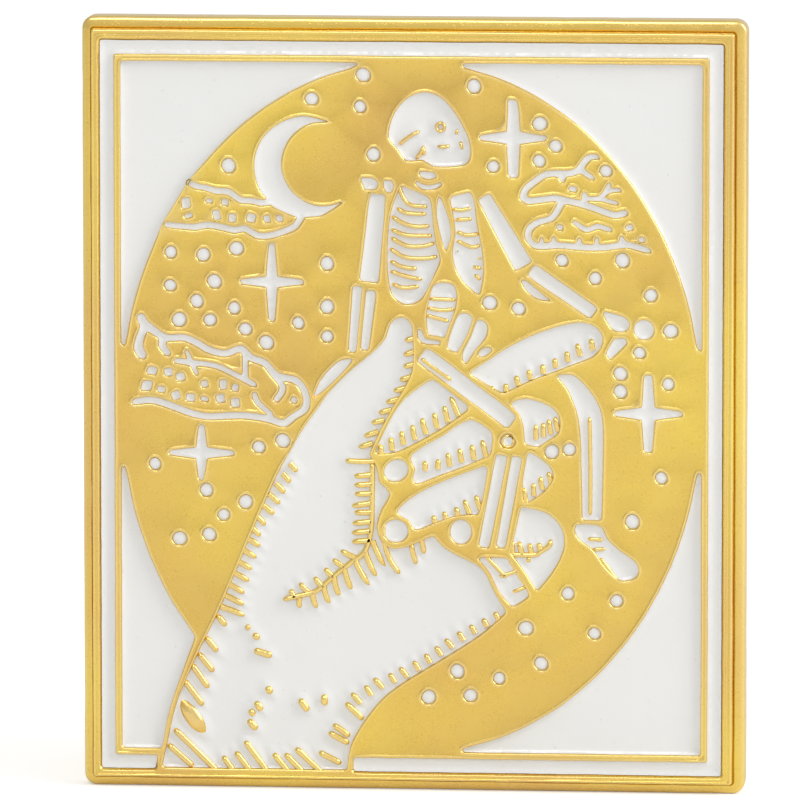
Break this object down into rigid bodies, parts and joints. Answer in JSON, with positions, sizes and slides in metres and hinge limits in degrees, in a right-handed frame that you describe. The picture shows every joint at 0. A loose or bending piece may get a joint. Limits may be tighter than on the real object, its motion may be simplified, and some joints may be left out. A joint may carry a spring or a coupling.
{
  "type": "enamel pin",
  "caption": "Rectangular gold-plated pin with recessed white enamel, an oval night scene inside a raised rim, two soldered posts and butterfly clutches.",
  "frame": {"origin": "centre of the flat back face of the plate", "axes": "-Y out of the enamelled front, +Y along the posts, +Z to the top of the picture, +X to the right as seen from the front"},
  "size_m": [0.03, 0.01, 0.035],
  "materials": {
    "gold_plate": "polished bright gold plating on cast zinc alloy",
    "white_enamel": "glossy baked white soft enamel, slightly below the metal lines",
    "gilt_brass": "thin gold plating on stamped brass, brighter on the edges"
  },
  "bodies": {
    "root": {"pin_body": "gold_plate", "post_left": "gilt_brass", "post_right": "gilt_brass", "enamel_border": "white_enamel", "enamel_cloud_left_base": "white_enamel", "enamel_cloud_left_top": "white_enamel", "enamel_cloud_middle_base": "white_enamel", "enamel_cloud_middle_top": "white_enamel", "enamel_cloud_right_base": "white_enamel", "enamel_cloud_right_top": "white_enamel", "enamel_corner_bottom_left": "white_enamel", "enamel_corner_bottom_right": "white_enamel", "enamel_corner_top_left": "white_enamel", "enamel_corner_top_right": "white_enamel", "enamel_femur": "white_enamel", "enamel_fibula": "white_enamel", "enamel_foot_back": "white_enamel", "enamel_foot_front": "white_enamel", "enamel_forearm_right": "white_enamel", "enamel_hand_left": "white_enamel", "enamel_heel": "white_enamel", "enamel_humerus_left": "white_enamel", "enamel_humerus_right": "white_enamel", "enamel_index_finger": "white_enamel", "enamel_knuckle_right": "white_enamel", "enamel_leg_back": "white_enamel", "enamel_little_finger": "white_enamel", "enamel_lumbar": "white_enamel", "enamel_middle_finger": "white_enamel", "enamel_middle_fingertip": "white_enamel", "enamel_moon": "white_enamel", "enamel_nail_little": "white_enamel", "enamel_nail_ring": "white_enamel", "enamel_nail_thumb": "white_enamel", "enamel_palm": "white_enamel", "enamel_pelvis_left": "white_enamel", "enamel_pelvis_right": "white_enamel", "enamel_radius_left": "white_enamel", "enamel_ribs_left": "white_enamel", "enamel_ribs_right": "white_enamel", "enamel_ring_finger": "white_enamel", "enamel_ring_fingertip": "white_enamel", "enamel_skull": "white_enamel", "enamel_star_left": "white_enamel", "enamel_star_lower_left": "white_enamel", "enamel_star_right": "white_enamel", "enamel_star_top": "white_enamel", "enamel_sternum": "white_enamel", "enamel_tibia": "white_enamel", "enamel_ulna_left": "white_enamel", "enamel_wrist_right": "white_enamel"},
    "clutch_left": {"clutch_left_dish": "gilt_brass", "clutch_left_cover": "gilt_brass"},
    "clutch_left_wing_upper": {"clutch_left_wing_upper": "gilt_brass"},
    "clutch_left_wing_lower": {"clutch_left_wing_lower": "gilt_brass"},
    "clutch_right": {"clutch_right_dish": "gilt_brass", "clutch_right_cover": "gilt_brass"},
    "clutch_right_wing_upper": {"clutch_right_wing_upper": "gilt_brass"},
    "clutch_right_wing_lower": {"clutch_right_wing_lower": "gilt_brass"}
  },
  "joints": [
    {"name": "clutch_left_slide", "type": "slide", "parent": "root", "child": "clutch_left", "axis": [0, 1, 0], "range_m": [-0.0018, 0.0062]},
    {"name": "clutch_left_squeeze_upper", "type": "hinge", "parent": "clutch_left", "child": "clutch_left_wing_upper", "pos_m": [-0.0075, 0.00455, 0.00615], "axis": [-1, 0, 0], "range_deg": [0, 12], "stiffness_Nm_per_rad": 0.01},
    {"name": "clutch_left_squeeze_lower", "type": "hinge", "parent": "clutch_left", "child": "clutch_left_wing_lower", "pos_m": [-0.0075, 0.00455, 0.00185], "axis": [1, 0, 0], "range_deg": [0, 12], "stiffness_Nm_per_rad": 0.01},
    {"name": "clutch_right_slide", "type": "slide", "parent": "root", "child": "clutch_right", "axis": [0, 1, 0], "range_m": [-0.0018, 0.0062]},
    {"name": "clutch_right_squeeze_upper", "type": "hinge", "parent": "clutch_right", "child": "clutch_right_wing_upper", "pos_m": [0.0075, 0.00455, 0.00615], "axis": [-1, 0, 0], "range_deg": [0, 12], "stiffness_Nm_per_rad": 0.01},
    {"name": "clutch_right_squeeze_lower", "type": "hinge", "parent": "clutch_right", "child": "clutch_right_wing_lower", "pos_m": [0.0075, 0.00455, 0.00185], "axis": [1, 0, 0], "range_deg": [0, 12], "stiffness_Nm_per_rad": 0.01}
  ],
  "couplings": [
    {"joint": "clutch_left_squeeze_lower", "follows": "clutch_left_squeeze_upper", "ratio": 1},
    {"joint": "clutch_right_squeeze_lower", "follows": "clutch_right_squeeze_upper", "ratio": 1}
  ]
}
